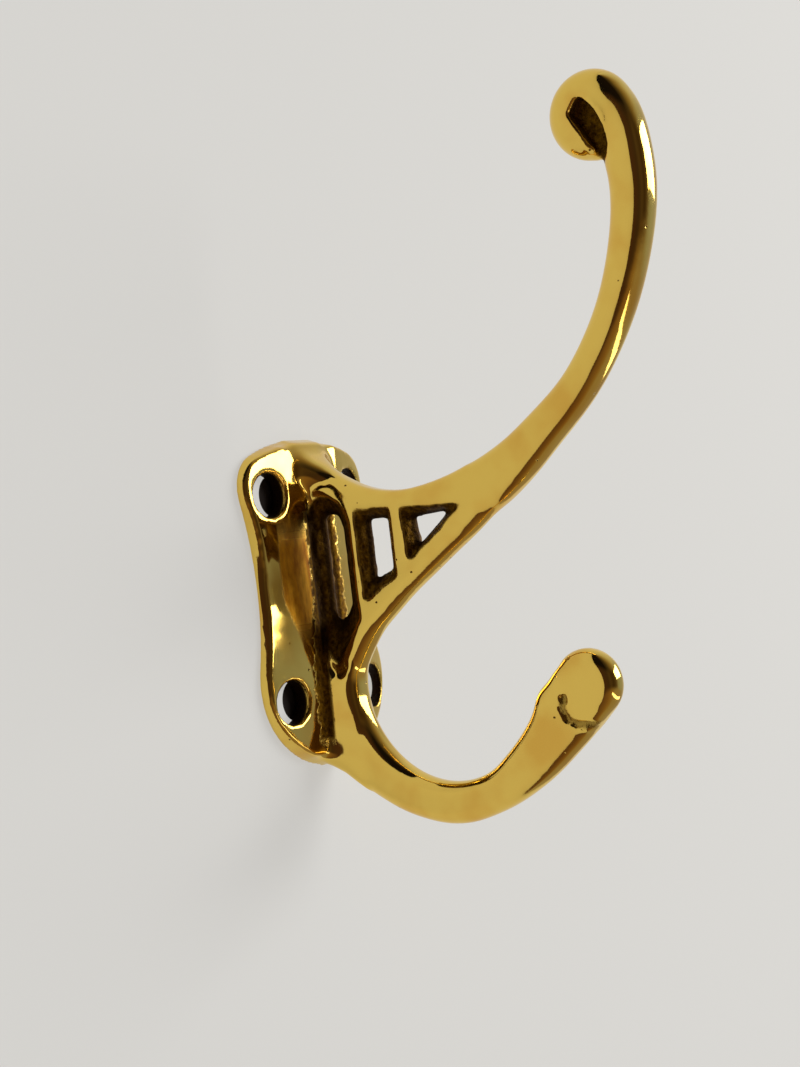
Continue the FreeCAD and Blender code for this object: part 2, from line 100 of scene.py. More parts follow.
# The screw holes, across from the middle and up, and their radius. Round them, edges stay crisp
# to the first distance, and less so up to the second
HOLES = [(side * 10.1, level * 15.0) for side in (-1, 1) for level in (-1, 1)]
HOLE = 3.2
CRISP = (0.6, 1.0)
# How far out the plate's side ends and its face begins
FACE = (2.2, 2.6)
# Where buffing flows one form into the next: each spot's middle and its reach, out and up
WEB_ENDS = [((4.5, 19.5), (3.2, 4.2)), ((3.8, -25.0), (2.6, 2.6))]
ARM_ROOT = ((33.0, 8.8), (3.5, 3.0))
BUD_NECK = ((39.3, -15.2), (2.2, 2.6))
# How much of the dish there is at each height of the plate's waist
DISH = [(-13, 0.0), (-11.5, 0.05), (-0.5, 0.95), (2, 1.0), (9, 0.1), (11.5, 0.0)]
# The dark corner beside the web: how far from the middle it starts and ends at each height
CORNER_NEAR = [(-21, 3.3), (-12, 2.9), (-8, 2.0)]
CORNER_FAR = [(-12, 5.6), (-8, 5.1), (-4, 4.4), (6, 3.9)]
# The sand's grain is a fine one and a coarse one: the size, the share and the seed of each
GRAINS = [(0.42, 0.7, 7), (0.9, 0.5, 8)]
# How many voxels the field reaches to each side of the surface, and how often the surface is
# evened out
BAND = 8
ROUNDS = 8

# The wall: half its side in metres, and how far it lies behind the plate. Then the painted shadow
# discs on it behind the screw holes: their radius and how far they lie from the holes, towards the
# middle
WALL_HALF = 3.0
WALL_GAP = 0.1
SHADOW_DISC = 3.0
SHADOW_DISC_SHIFT = 3.55
SHADOW_DISC_SIDES = 32
# The room in front of the wall, from floor to ceiling. The first two numbers of a level are the
# heights, from -1 down to 1 up, between which it takes over from the one below. Its colours
# follow the way one looks: from -90 degrees, along the wall to the right, to 90, to the left.
ROOM = [
    (-1.0, -1.0, [(-90, "#9C9490"), (-40, "#968C82"), (0, "#94887A"), (25, "#8A7454"),
                  (50, "#7E6244"), (90, "#5C4438")]),
    (-0.42, -0.17, [(-90, "#C6C5C4"), (-67, "#A2A6B0"), (-50, "#9CA5B8"), (-30, "#8E94A2"),
                    (-15, "#6E665E"), (-2, "#4E4034"), (12, "#3E3024"), (35, "#4C3E32"),
                    (55, "#3E302A"), (90, "#46302A")]),
    (0.3, 0.62, [(-90, "#D6D8DC"), (-60, "#BDBEC0"), (-37, "#A09890"), (-22, "#8E806C"),
                 (0, "#6E6048"), (18, "#4A4038"), (42, "#1A1517"), (90, "#141118")]),
]
# The lamps: name, way and height in degrees, distance, width and height in metres, and watts
LAMPS = [
    ("window_light", -38.5, 13.8, 1.1, 0.96, 0.4, 9.0),
    ("low_light", -21, -36.5, 1.0, 1.62, 0.12, 1.5),
]
# The camera: its place, its turn, dip and roll in degrees, and its focal length in pixels of a
# photograph 1067 pixels high
CAMERA = (-241.83, -174.27, 6.70)
TURN, DIP, ROLL = 33, -0.146, 6.567
FOCAL, PHOTO_HEIGHT = 2000, 1067
SENSOR = 36.0


def linear(code):
    """An sRGB hex colour as linear red, green, blue and alpha."""
    parts = [int(code[i:i + 2], 16) / 255 for i in (1, 3, 5)]
    return [p / 12.92 if p <= 0.04045 else ((p + 0.055) / 1.055) ** 2.4 for p in parts] + [1.0]


def add(tree, kind, settings=None, links=None):
    """A new node with its settings, and with its inputs set or linked."""
    node = tree.nodes.new(kind)
    for name, value in (settings or {}).items():
        setattr(node, name, value)
    for name, value in (links or {}).items():
        socket = node.inputs[name]
        if isinstance(value, bpy.types.NodeSocket):
            tree.links.new(value, socket)
        else:
            socket.default_value = value
    return node


class HookShape(bpy.types.PropertyGroup):
    voxel: bpy.props.FloatProperty(
        name="Voxel", description="Grid spacing of the casting's surface",
        default=0.3 * MM, min=0.2 * MM, max=1.0 * MM, unit="LENGTH")
    edge_round: bpy.props.FloatProperty(
        name="Edge rounding", description="How far buffing has rounded the edges",
        default=0.22 * MM, min=0.0, max=1.0 * MM, unit="LENGTH")
    root_round: bpy.props.FloatProperty(
        name="Root rounding", description="How far the web's ends flow into the plate",
        default=0.95 * MM, min=0.0, max=2.0 * MM, unit="LENGTH")
    arm_gain: bpy.props.FloatProperty(
        name="Arm gain", description="How far the upper arm stands out past its smoothed form",
        default=0.12 * MM, min=0.0, max=0.5 * MM, unit="LENGTH")
    dish: bpy.props.FloatProperty(
        name="Waist dish", description="How deep the wheel has dished the rim of the plate's waist",
        default=0.85 * MM, min=0.0, max=1.5 * MM, unit="LENGTH")
    window_grain: bpy.props.FloatProperty(
        name="Window grain", description="How far the unfinished window walls wander",
        default=0.13 * MM, min=0.0, max=1.0 * MM, unit="LENGTH")


class HookFinish(bpy.types.PropertyGroup):
    brass: bpy.props.StringProperty(
        name="Brass", description="Colour of the buffed brass", default="#EBC75F")
    warm_brass: bpy.props.StringProperty(
        name="Warm brass", description="Colour of the slightly tarnished brass", default="#E2B450")
    pit: bpy.props.StringProperty(
        name="Pit", description="Colour at the bottom of a casting pit", default="#5A3A10")
    cast_skin: bpy.props.StringProperty(
        name="Cast skin", description="Colour of the unpolished skin in the windows", default="#8A6412")
    cast_shade: bpy.props.StringProperty(
        name="Cast shade", description="Colour of the skin between its grains", default="#3A1E0A")
    # Painted shade: the skin darkened further in the holes, on the windows' inner ridges and beside the
    # first window.
    painted_shade: bpy.props.StringProperty(
        name="Painted_shade", description="Colour of the blackest skin, as in the holes", default="#26160A")
    # The next two are the colours of an amber painted reflection on the plate's waist.
    amber_reflection: bpy.props.StringProperty(
        name="Painted_reflection", description="Colour of the tarnish on the plate's waist", default="#F2B02C")
    deep_reflection: bpy.props.StringProperty(
        name="Deep tarnish", description="Colour of the tarnish where it is thickest", default="#A86408")
    wall: bpy.props.StringProperty(
        name="Wall", description="Colour of the wall behind the hook", default="#DEDDD9")
    # A painted shadow: the dark discs on the wall seen through the screw holes.
    hole_shadow: bpy.props.StringProperty(
        name="Hole_shadow", description="Colour of the wall's shadow_discs behind the holes", default="#1E120A")


def blurred(values, sigma):
    """The grid smoothed by a Gaussian of sigma voxels."""
    if sigma <= 0:
        return values
    reach = max(1, int(math.ceil(sigma * 3)))
    taps = np.exp(-0.5 * (np.arange(-reach, reach + 1) / sigma) ** 2)
    taps /= taps.sum()
    for axis in range(3):
        padded = np.pad(values, [(reach, reach) if a == axis else (0, 0) for a in range(3)], "edge")
        size = values.shape[axis]
        values = sum(
            tap * np.take(padded, range(i, i + size), axis) for i, tap in enumerate(taps))
    return values.astype(np.float32)


def grain(shape, sigma, seed):
    """Smooth noise over the grid, with a spread of one."""
    noise = np.random.default_rng(seed).standard_normal(shape).astype(np.float32)
    noise = blurred(noise, sigma)
    return noise / noise.std()


def off_line(corners, out, up):
    """How far places in the side view lie from a line through the corners."""
    best = np.full(np.broadcast(out, up).shape, 1e9)
    for (ax, ay), (bx, by) in zip(corners, corners[1:]):
        share = ((out - ax) * (bx - ax) + (up - ay) * (by - ay)) / ((bx - ax) ** 2 + (by - ay) ** 2)
        share = np.clip(share, 0, 1)
        best = np.minimum(best, np.hypot(out - ax - share * (bx - ax), up - ay - share * (by - ay)))
    return best


def inside(corners, out, up):
    """How far places in the side view lie inside a polygon: negative outside it."""
    ring = corners + corners[:1]
    within = np.zeros(np.broadcast(out, up).shape, bool)
    for (ax, ay), (bx, by) in zip(ring, ring[1:]):
        span = (by - ay) if by != ay else 1e-9
        within ^= ((ay > up) != (by > up)) & (out < ax + (up - ay) * (bx - ax) / span)
    best = off_line(ring, out, up)
    return np.where(within, best, -best)


def in_windows(out, up):
    """How far places in the side view lie inside the nearest window: negative outside them."""
    return np.max([inside(corners, out, up) for corners in WINDOWS], axis=0)


def off_holes(x, up):
    """How far places on the plate lie outside the nearest screw hole."""
    return np.min([np.hypot(x - across, up - level) for across, level in HOLES], axis=0) - HOLE


def step_up(value, start, end):
    """A smooth step from 0 at start to 1 at end."""
    share = np.clip((value - start) / (end - start), 0, 1)
    return share * share * (3 - 2 * share)


def step_down(value, start, end):
    """A smooth step from 1 at start to 0 at end."""
    return 1 - step_up(value, start, end)


def profile(stops, up):
    """The value at a height, with straight runs between the stops."""
    heights, amounts = zip(*stops)
    return np.interp(up, heights, amounts)


def spot(middle, reach, out, up):
    """A soft spot in the side view, 1 at its middle."""
    return np.exp(-((out - middle[0]) / reach[0]) ** 2 - ((up - middle[1]) / reach[1]) ** 2)


def slab(flat, thick, rounding):
    """The signed distance to a slab, from those to its outline and to its sides, edges rounded."""
    flat, thick = flat + rounding, thick + rounding
    return np.minimum(np.maximum(flat, thick), 0) + np.hypot(
        np.maximum(flat, 0), np.maximum(thick, 0)) - rounding


def bored(x, out, up):
    """How far a place lies in a screw hole's wall, from 0 to 1."""
    return step_down(off_holes(x, up), 0.1, 0.35) * step_down(out, *FACE)


def unpolished(x, out, up):
    """How much of the cast skin is left at a place, from 0, buffed, to 1."""
    side = np.abs(x)
    windows = step_up(in_windows(out, up), -0.4, 0.1) * step_down(side, 1.95, 2.2)
    reach = np.hypot(out - CURL[0], up - CURL[1])
    dome = CURL_HALF * np.sqrt(np.clip(1 - (reach / CURL_ROUND) ** 2, 0.25, 1))
    eye = step_up(inside(EYE, out, up), -0.3, 0.1) * step_up(dome - side, 0.2, 0.5)
    groove = step_down(off_line(GROOVE, out, up), GROOVE_HALF - 0.25, GROOVE_HALF)
    groove = groove * step_down(side, 2.3, 2.5) * step_up(side, 1.0, 1.2)
    # The wheel does not reach into the corner where the web meets the plate. Its border sways.
    sway = 0.22 * np.sin(up * 1.7) + 0.16 * np.sin(up * 4.1 + 1) + 0.1 * np.sin(up * 9.3 + 2)
    near = profile(CORNER_NEAR, up)
    far = profile(CORNER_FAR, up) + sway
    corner = step_up(side, near - 0.2, near) * step_down(side, far - 0.3, far)
    corner = corner * step_up(up, -22.5 + sway, -21.0 + sway) * step_down(up, 11.5, 13.0)
    corner = corner * step_up(out, *FACE) * step_down(out, 3.9, 4.3)
    return np.max([windows, eye, 0.6 * groove, bored(x, out, up), corner], axis=0)


def painted_shade_amount(x, out, up):
    """How much painted shade darkens the cast skin, from 0 to 1: in the holes, on the windows' inner
    ridges and beside the first window."""
    side = np.abs(x)
    ridge = step_up(in_windows(out, up), -0.2, 0.2) * step_down(side, 0.6, 1.1)
    corner = step_down(out, 3.4, 4.0) * step_down(side, 2.7, 3.1) * step_up(up, -10.0, -7.0)
    return np.maximum(bored(x, out, up), 0.8 * np.maximum(ridge, corner))


def painted_reflection(x, out, up):
    """How much painted reflection, in amber, lies on the plate's left face between the holes, from 0 to
    1.
    """
    side = -x
    low = np.maximum(-up, 0)
    across = step_up(side, 3.7 + 0.23 * low, 4.0 + 0.23 * low)
    across = across * step_down(side, 9.7 - 0.35 * low, 10.0 - 0.35 * low)
    return across * step_up(up, -8.0, -2.5) * step_down(up, 7.0, 12.5) * step_up(out, *FACE)


def lowered(values, drop):
    """The grid with its surface moved towards the wall by drop, in voxels."""
    place = np.arange(values.shape[1])[None, :, None] - drop
    base = np.clip(np.floor(place).astype(int), 0, values.shape[1] - 2)
    share = np.clip(place - base, 0, 1)
    near = np.take_along_axis(values, base, 1)
    return near + (np.take_along_axis(values, base + 1, 1) - near) * share


def field_of(node, voxel):
    """The CAD solid's signed distance on a grid, and the grid's first corner."""
    points = np.empty(len(node.data.vertices) * 3, np.float32)
    node.data.vertices.foreach_get("co", points)
    points = points.reshape(-1, 3) / MM
    node.data.calc_loop_triangles()
    triangles = np.empty(len(node.data.loop_triangles) * 3, np.int32)
    node.data.loop_triangles.foreach_get("vertices", triangles)
    grid = vdb.FloatGrid.createLevelSetFromPolygons(
        points, triangles=triangles.reshape(-1, 3),
        transform=vdb.createLinearTransform(voxelSize=voxel), halfWidth=BAND)
    low, high = (np.array(corner) for corner in grid.evalActiveVoxelBoundingBox())
    low, high = low - 2, high + 2
    values = np.empty(high - low + 1, np.float32)
    grid.copyToArray(values, ijk=tuple(int(v) for v in low))
    return values, low


def flared(values, x, out, up):
    """The field with the web spread where it meets the plate, below its windows and above them."""
    middle = values[np.argmin(np.abs(x[:, 0, 0]))][None]
    low = LOW_SLOPE * np.clip(LOW_START - out, 0, LOW_RUN) * profile(LOW_SHARE, up)
    top = TOP_SLOPE * np.clip(TOP_START - out, 0, TOP_RUN) * step_up(up, *TOP_RISE)
    spread = np.maximum(low, top)
    pane = inside(WINDOWS[0], out[0], up[0])[None] + PANE_GAP
    # The side slopes, so the distance to it is a little shorter than across.
    thick = 0.95 * (np.abs(x) - WEB_HALF - spread)
    web = slab(np.maximum(middle, pane), thick, FLARE_ROUND)
    # Where the web does not spread, its edges are left as they are.
    return np.where(spread > 0.02, np.minimum(values, web), values)


def filled(values, x, out, up):
    """The field with the bud's neck filled, and its side dressed flat for the groove."""
    thick = np.abs(x) - WEB_HALF
    for corners, rounding in FILLS:
        flat = -inside(corners, out[0], up[0])[None]
        values = np.minimum(values, slab(flat, thick, rounding))
    return values.astype(np.float32)


def buffed(values, x, out, up, shape):
    """The field with its edges rounded a little, and with the forms that the wheel rounds most
    flowing into each other. The holes' edges stay crisp."""
    crisp = blurred(values, shape.edge_round / shape.voxel)
    soft = blurred(values, shape.root_round / shape.voxel)
    ends = sum(spot(*place, out, up) for place in WEB_ENDS)
    ends = np.clip(1.5 * ends * step_down(np.abs(x), 4.5, 7.0), 0, 1) * step_up(out, 0.6, 1.6)
    # The arm is rounded too, but not at the curl's eye. So are its root and the bud's neck.
    arm = step_up(up, 8.0, 14.0) * step_up(out, 26.0, 33.0)
    arm = arm * step_down(inside(EYE, out[0], up[0]), -1.6, -0.6)[None]
    joints = spot(*ARM_ROOT, out, up) + spot(*BUD_NECK, out, up)
    flow = np.maximum(ends, np.clip(0.85 * arm + joints, 0, 1)) * step_up(off_holes(x, up), *CRISP)
    return crisp + (soft - crisp) * flow - shape.arm_gain / MM * arm


def dished(values, x, out, up, shape):
    """The field with the rim of the plate's waist lowered by the wheel, most near the middle."""
    fall = profile(DISH, up) * step_up(np.abs(x), 7.0, 12.5) * step_up(out, 0.4, 1.4)
    return lowered(values, shape.dish / shape.voxel * fall * step_up(off_holes(x, up), *CRISP))


def grooved(values, x, out, up):
    """The field with the groove behind the bud cut into each side."""
    cut = np.hypot(off_line(GROOVE, out, up), np.maximum(WEB_HALF - np.abs(x), 0))
    return np.maximum(values, GROOVE_HALF - cut)


def grained(values, x, out, up, shape):
    """The field with the sand's grain on the windows' walls and in the eye and the groove."""
    side = np.abs(x)
    walls = step_up(in_windows(out[0], up[0]), -0.45, 0.35)[None] * step_down(side, 1.7, 2.3)
    eye = step_up(inside(EYE, out[0], up[0]), -0.2, 0.3)[None] * step_down(side, 2.6, 3.0)
    groove = step_down(off_line(GROOVE, out[0], up[0]), 0.5 * GROOVE_HALF, GROOVE_HALF)[None]
    cast = np.maximum(walls, np.maximum(eye, groove)) * (0.1 + 0.9 * step_up(side, 0.6, 1.6))
    rough = sum(grain(values.shape, size * MM / shape.voxel, seed) * part for size, part, seed in GRAINS)
    return values + rough * cast * shape.window_grain / MM


def left_rough(x, out, up):
    """How far places keep their roughness when the surface is evened out, from 0 to 1."""
    skin = 0.8 * unpolished(x, out, up) * (0.2 + 0.8 * step_up(np.abs(x), 0.5, 1.3))
    lip = 0.45 * step_down(off_holes(x, up), 0.3, 0.5)
    dug = 0.75 * step_down(off_line(GROOVE, out, up), GROOVE_HALF, GROOVE_HALF + 0.4)
    return np.max([skin, lip, dug], axis=0)


def relaxed(points, quads, keep):
    """The points evened out; keep holds those that stay rough. Each pull towards the neighbours is
    followed by a push away from them, so that the surface does not shrink."""
    pairs = np.concatenate([quads[:, [0, 1]], quads[:, [1, 2]], quads[:, [2, 3]], quads[:, [3, 0]]])
    pairs = np.unique(np.sort(pairs, 1), axis=0)
    count = np.bincount(pairs.ravel(), minlength=len(points))[:, None]
    for _ in range(ROUNDS):
        for push in (0.5, -0.52):
            total = np.stack([
                np.bincount(pairs[:, 0], points[pairs[:, 1], a], len(points))
                + np.bincount(pairs[:, 1], points[pairs[:, 0], a], len(points))
                for a in range(3)], 1)
            points = points + (total / count - points) * push * (1 - keep[:, None])
    return points


def surface_of(values, low, voxel):
    """The field's surface as points and quads."""
    grid = vdb.FloatGrid(BAND * voxel)
    grid.copyFromArray(values.astype(np.float32), ijk=tuple(int(v) for v in low))
    grid.transform = vdb.createLinearTransform(voxelSize=voxel)
    points, quads = grid.convertToQuads(isovalue=0.0)
    points = points.astype(float)
    keep = left_rough(points[:, 0], -points[:, 1], points[:, 2])
    return relaxed(points, quads, keep), quads


def polished_cast_brass(finish):
    """Cast brass buffed to a mirror: warm yellow, with slow buffing waves and a few casting pits,
    and a dark, grainy cast skin where the wheel could not reach. An amber painted reflection lies on
    the plate's waist, and painted shade darkens the skin in the holes and on the windows' ridges."""
    mat = bpy.data.materials.new("polished_cast_brass")
    mat.use_nodes = True
    tree = mat.node_tree
    tree.nodes.clear()
    place = add(tree, "ShaderNodeTexCoord").outputs["Object"]
    skin = add(tree, "ShaderNodeAttribute", {"attribute_name": "cast_skin"}).outputs["Fac"]
    # An amber painted reflection on the plate's waist.
    amber_reflection = add(tree, "ShaderNodeAttribute", {"attribute_name": "painted_reflection"}).outputs["Fac"]
    # Painted shade in the holes, on the windows' inner ridges and beside the first window.
    painted_shade = add(tree, "ShaderNodeAttribute", {"attribute_name": "painted_shade"}).outputs["Fac"]

    # The brass warms a little in clouds 11 mm across.
    tone = add(tree, "ShaderNodeTexNoise", None, {
        "Vector": place, "Scale": 1000 / 11, "Detail": 3.0, "Roughness": 0.55})
    stain = add(tree, "ShaderNodeMapRange", {"interpolation_type": "SMOOTHSTEP"}, {
        "Value": tone.outputs["Fac"], "From Min": 0.42, "From Max": 0.68})
    brass = add(tree, "ShaderNodeMix", {"data_type": "RGBA"}, {
        0: stain.outputs["Result"], 6: linear(finish.brass), 7: linear(finish.warm_brass)})
    # The cast skin has clumps of sand grains, drawn at 0.6 mm to show.
    grit = add(tree, "ShaderNodeTexNoise", None, {
        "Vector": place, "Scale": 1000 / 0.6, "Detail": 4.0, "Roughness": 0.6})
    clump = add(tree, "ShaderNodeMapRange", None, {
        "Value": grit.outputs["Fac"], "From Min": 0.3, "From Max": 0.7})
    dark = add(tree, "ShaderNodeMix", {"data_type": "RGBA"}, {
        0: clump.outputs["Result"], 6: linear(finish.cast_shade), 7: linear(finish.cast_skin)})
    # The amber patch is a painted reflection, in upright streaks a little over 1 mm across and 4 mm
    # high.
    # It is less of a mirror than the brass and shows its own colour.
    streaks = add(tree, "ShaderNodeTexNoise", None, {
        "Vector": add(tree, "ShaderNodeMapping", None, {"Vector": place, "Scale": (2.0, 1.0, 0.6)}
                      ).outputs["Vector"],
        "Scale": 1000 / 2.5, "Detail": 4.0, "Roughness": 0.6})
    patches = add(tree, "ShaderNodeMapRange", None, {
        "Value": streaks.outputs["Fac"], "From Min": 0.32, "From Max": 0.68})
    shades = add(tree, "ShaderNodeMix", {"data_type": "RGBA"}, {
        0: patches.outputs["Result"], 6: linear(finish.deep_reflection), 7: linear(finish.amber_reflection)})
    amber = add(tree, "ShaderNodeMix", {"data_type": "RGBA"}, {
        0: amber_reflection, 6: brass.outputs[2], 7: shades.outputs[2]})
    metal = add(tree, "ShaderNodeMapRange", None, {"Value": amber_reflection, "To Min": 1.0, "To Max": 0.55})
    gloss = add(tree, "ShaderNodeMapRange", None, {"Value": amber_reflection, "To Min": 0.5, "To Max": 0.1})
    # Painted shade darkens the skin further in the holes, on the windows' inner ridges and beside the
    # first window.
    black = add(tree, "ShaderNodeMix", {"data_type": "RGBA"}, {
        0: painted_shade, 6: dark.outputs[2], 7: linear(finish.painted_shade)})
    colour = add(tree, "ShaderNodeMix", {"data_type": "RGBA"}, {
        0: skin, 6: amber.outputs[2], 7: black.outputs[2]})

    # A casting pit is a small dark dot; the cells are 3 mm, so pits lie that far apart.
    cells = add(tree, "ShaderNodeTexVoronoi", None, {
        "Vector": place, "Scale": 1000 / 3, "Randomness": 1.0})
    pit = add(tree, "ShaderNodeMapRange", {"interpolation_type": "SMOOTHSTEP"}, {
        "Value": cells.outputs["Distance"], "From Min": 0.03, "From Max": 0.07,
        "To Min": 1.0, "To Max": 0.0})
    pitted = add(tree, "ShaderNodeMix", {"data_type": "RGBA"}, {
        0: pit.outputs["Result"], 6: colour.outputs[2], 7: linear(finish.pit)})

    # Buffed brass is close to a mirror, the painted reflection is satin and the cast skin is matt.
    haze = add(tree, "ShaderNodeMapRange", None, {
        "Value": tone.outputs["Fac"], "From Min": 0.3, "From Max": 0.7, "To Min": 0.05, "To Max": 0.1})
    dulled = add(tree, "ShaderNodeMix", {"data_type": "FLOAT"}, {
        0: amber_reflection, 2: haze.outputs["Result"], 3: 0.32})
    rough = add(tree, "ShaderNodeMix", {"data_type": "FLOAT"}, {
        0: skin, 2: dulled.outputs[0], 3: 0.62})

    # The wheel leaves slow waves 6 mm long.
    waves = add(tree, "ShaderNodeTexNoise", None, {
        "Vector": place, "Scale": 1000 / 6, "Detail": 2.0, "Roughness": 0.4})
    wave_bump = add(tree, "ShaderNodeBump", None, {
        "Height": waves.outputs["Fac"], "Strength": 0.12, "Distance": 1 * MM})
    # The grain is counted from its own mean, so the skin's border makes no step.
    level = add(tree, "ShaderNodeMath", {"operation": "SUBTRACT"}, {0: grit.outputs["Fac"], 1: 0.5})
    skin_height = add(tree, "ShaderNodeMath", {"operation": "MULTIPLY"}, {
        0: level.outputs[0], 1: skin})
    skin_bump = add(tree, "ShaderNodeBump", None, {
        "Height": skin_height.outputs[0], "Strength": 0.6, "Distance": 0.4 * MM,
        "Normal": wave_bump.outputs["Normal"]})
    pit_bump = add(tree, "ShaderNodeBump", {"invert": True}, {
        "Height": pit.outputs["Result"], "Strength": 0.6, "Distance": 0.15 * MM,
        "Normal": skin_bump.outputs["Normal"]})
    surface = add(tree, "ShaderNodeBsdfPrincipled", None, {
        "Base Color": pitted.outputs[2], "Roughness": rough.outputs[0],
        "Metallic": metal.outputs["Result"], "Specular IOR Level": gloss.outputs["Result"],
        "Normal": pit_bump.outputs["Normal"]})
    add(tree, "ShaderNodeOutputMaterial", None, {"Surface": surface.outputs[0]})
    return mat


def one_sided(tree, front):
    """Shows the shader on front faces only, so that the hook can be seen from behind."""
    clear = add(tree, "ShaderNodeBsdfTransparent")
    side = add(tree, "ShaderNodeNewGeometry").outputs["Backfacing"]
    mixed = add(tree, "ShaderNodeMixShader", None, {0: side, 1: front, 2: clear.outputs[0]})
    add(tree, "ShaderNodeOutputMaterial", None, {"Surface": mixed.outputs[0]})


def painted_board(finish):
    """Board painted matt white with a roller, which leaves it faintly uneven."""
    mat = bpy.data.materials.new("painted_board")
    mat.use_nodes = True
    tree = mat.node_tree
    tree.nodes.clear()
    mottle = add(tree, "ShaderNodeTexNoise", None, {
        "Vector": add(tree, "ShaderNodeTexCoord").outputs["Object"],
        "Scale": 1000 / 30, "Detail": 4.0})
    bump = add(tree, "ShaderNodeBump", None, {
        "Height": mottle.outputs["Fac"], "Strength": 0.05, "Distance": 1 * MM})
    front = add(tree, "ShaderNodeBsdfPrincipled", None, {
        "Base Color": linear(finish.wall), "Roughness": 0.9,
        "Normal": bump.outputs["Normal"]})
    # The camera and the brass see the board mostly as an evenly lit one.
    path = add(tree, "ShaderNodeLightPath")
    seen = add(tree, "ShaderNodeMath", {"operation": "MAXIMUM"}, {
        0: path.outputs["Is Camera Ray"], 1: path.outputs["Is Glossy Ray"]})
    share = add(tree, "ShaderNodeMath", {"operation": "MULTIPLY"}, {0: seen.outputs[0], 1: 0.68})
    even = add(tree, "ShaderNodeEmission", None, {"Color": linear(finish.wall)})
    lit = add(tree, "ShaderNodeMixShader", None, {
        0: share.outputs[0], 1: front.outputs[0], 2: even.outputs[0]})
    one_sided(tree, lit.outputs[0])
    return mat


def painted_shadow_board(finish):
    """A painted shadow: a dark matt disc on the board behind each screw hole."""
    mat = bpy.data.materials.new("painted_shadow_board")
    mat.use_nodes = True
    tree = mat.node_tree
    tree.nodes.clear()
    matt = add(tree, "ShaderNodeBsdfPrincipled", None, {
        "Base Color": linear(finish.hole_shadow), "Roughness": 0.9})
    one_sided(tree, matt.outputs[0])
    return mat


def studio():
    """The world, which is the room in front of the wall and lights the hook from all round."""
    world = bpy.data.worlds.new("studio")
    world.use_nodes = True
    tree = world.node_tree
    tree.nodes.clear()
    way = add(tree, "ShaderNodeSeparateXYZ", None, {
        "Vector": add(tree, "ShaderNodeTexCoord").outputs["Generated"]})
    ahead = add(tree, "ShaderNodeMath", {"operation": "MULTIPLY"}, {0: way.outputs["Y"], 1: -1.0})
    aside = add(tree, "ShaderNodeMath", {"operation": "MULTIPLY"}, {0: way.outputs["X"], 1: -1.0})
    turn = add(tree, "ShaderNodeMath", {"operation": "ARCTAN2"}, {
        0: aside.outputs[0], 1: ahead.outputs[0]})
    share = add(tree, "ShaderNodeMapRange", None, {
        "Value": turn.outputs[0], "From Min": -math.pi / 2, "From Max": math.pi / 2})
    room = None
    for start, end, stops in ROOM:
        ramp = add(tree, "ShaderNodeValToRGB", None, {"Fac": share.outputs["Result"]})
        elements = ramp.color_ramp.elements
        for number, (angle, code) in enumerate(stops):
            place = (angle + 90) / 180
            stop = elements[number] if number < 2 else elements.new(place)
            stop.position, stop.color = place, linear(code)
        if room is None:
            room = ramp.outputs["Color"]
            continue
        lift = add(tree, "ShaderNodeMapRange", {"interpolation_type": "SMOOTHSTEP"}, {
            "Value": way.outputs["Z"], "From Min": start, "From Max": end})
        room = add(tree, "ShaderNodeMix", {"data_type": "RGBA"}, {
            0: lift.outputs["Result"], 6: room, 7: ramp.outputs["Color"]}).outputs[2]
    shine = add(tree, "ShaderNodeBackground", None, {"Color": room, "Strength": 1.0})
    add(tree, "ShaderNodeOutputWorld", None, {"Surface": shine.outputs[0]})
    return world


def softbox(name, turn, lift, away, width, height, power):
    """A lamp at a way and a height in degrees, aimed at the hook."""
    lamp = bpy.data.lights.new(name, "AREA")
    lamp.shape = "RECTANGLE"
    lamp.size, lamp.size_y, lamp.energy = width, height, power
    item = bpy.data.objects.new(name, lamp)
    turn, lift = math.radians(turn), math.radians(lift)
    item.location = Vector((-math.sin(turn) * math.cos(lift), -math.cos(turn) * math.cos(lift),
                            math.sin(lift))) * away
    item.rotation_euler = (-item.location).to_track_quat("-Z", "Y").to_euler()
    return item


def photo_camera():
    """The camera where the photograph was taken."""
    camera = bpy.data.cameras.new("camera")
    camera.sensor_width = SENSOR
    camera.lens = SENSOR * FOCAL / PHOTO_HEIGHT
    camera.clip_start = 0.01
    turn, dip, roll = math.radians(TURN), math.radians(DIP), math.radians(ROLL)
    forward = Vector((math.cos(turn) * math.cos(dip), math.sin(turn) * math.cos(dip), -math.sin(dip)))
    right = Vector((math.sin(turn), -math.cos(turn), 0))
    above = right.cross(forward)
    level = right * math.cos(roll) - above * math.sin(roll)
    upward = right * math.sin(roll) + above * math.cos(roll)
    pose = Matrix((level, upward, -forward)).transposed().to_4x4()
    pose.translation = Vector(CAMERA) * MM
    item = bpy.data.objects.new("camera", camera)
    item.matrix_world = pose
    return item


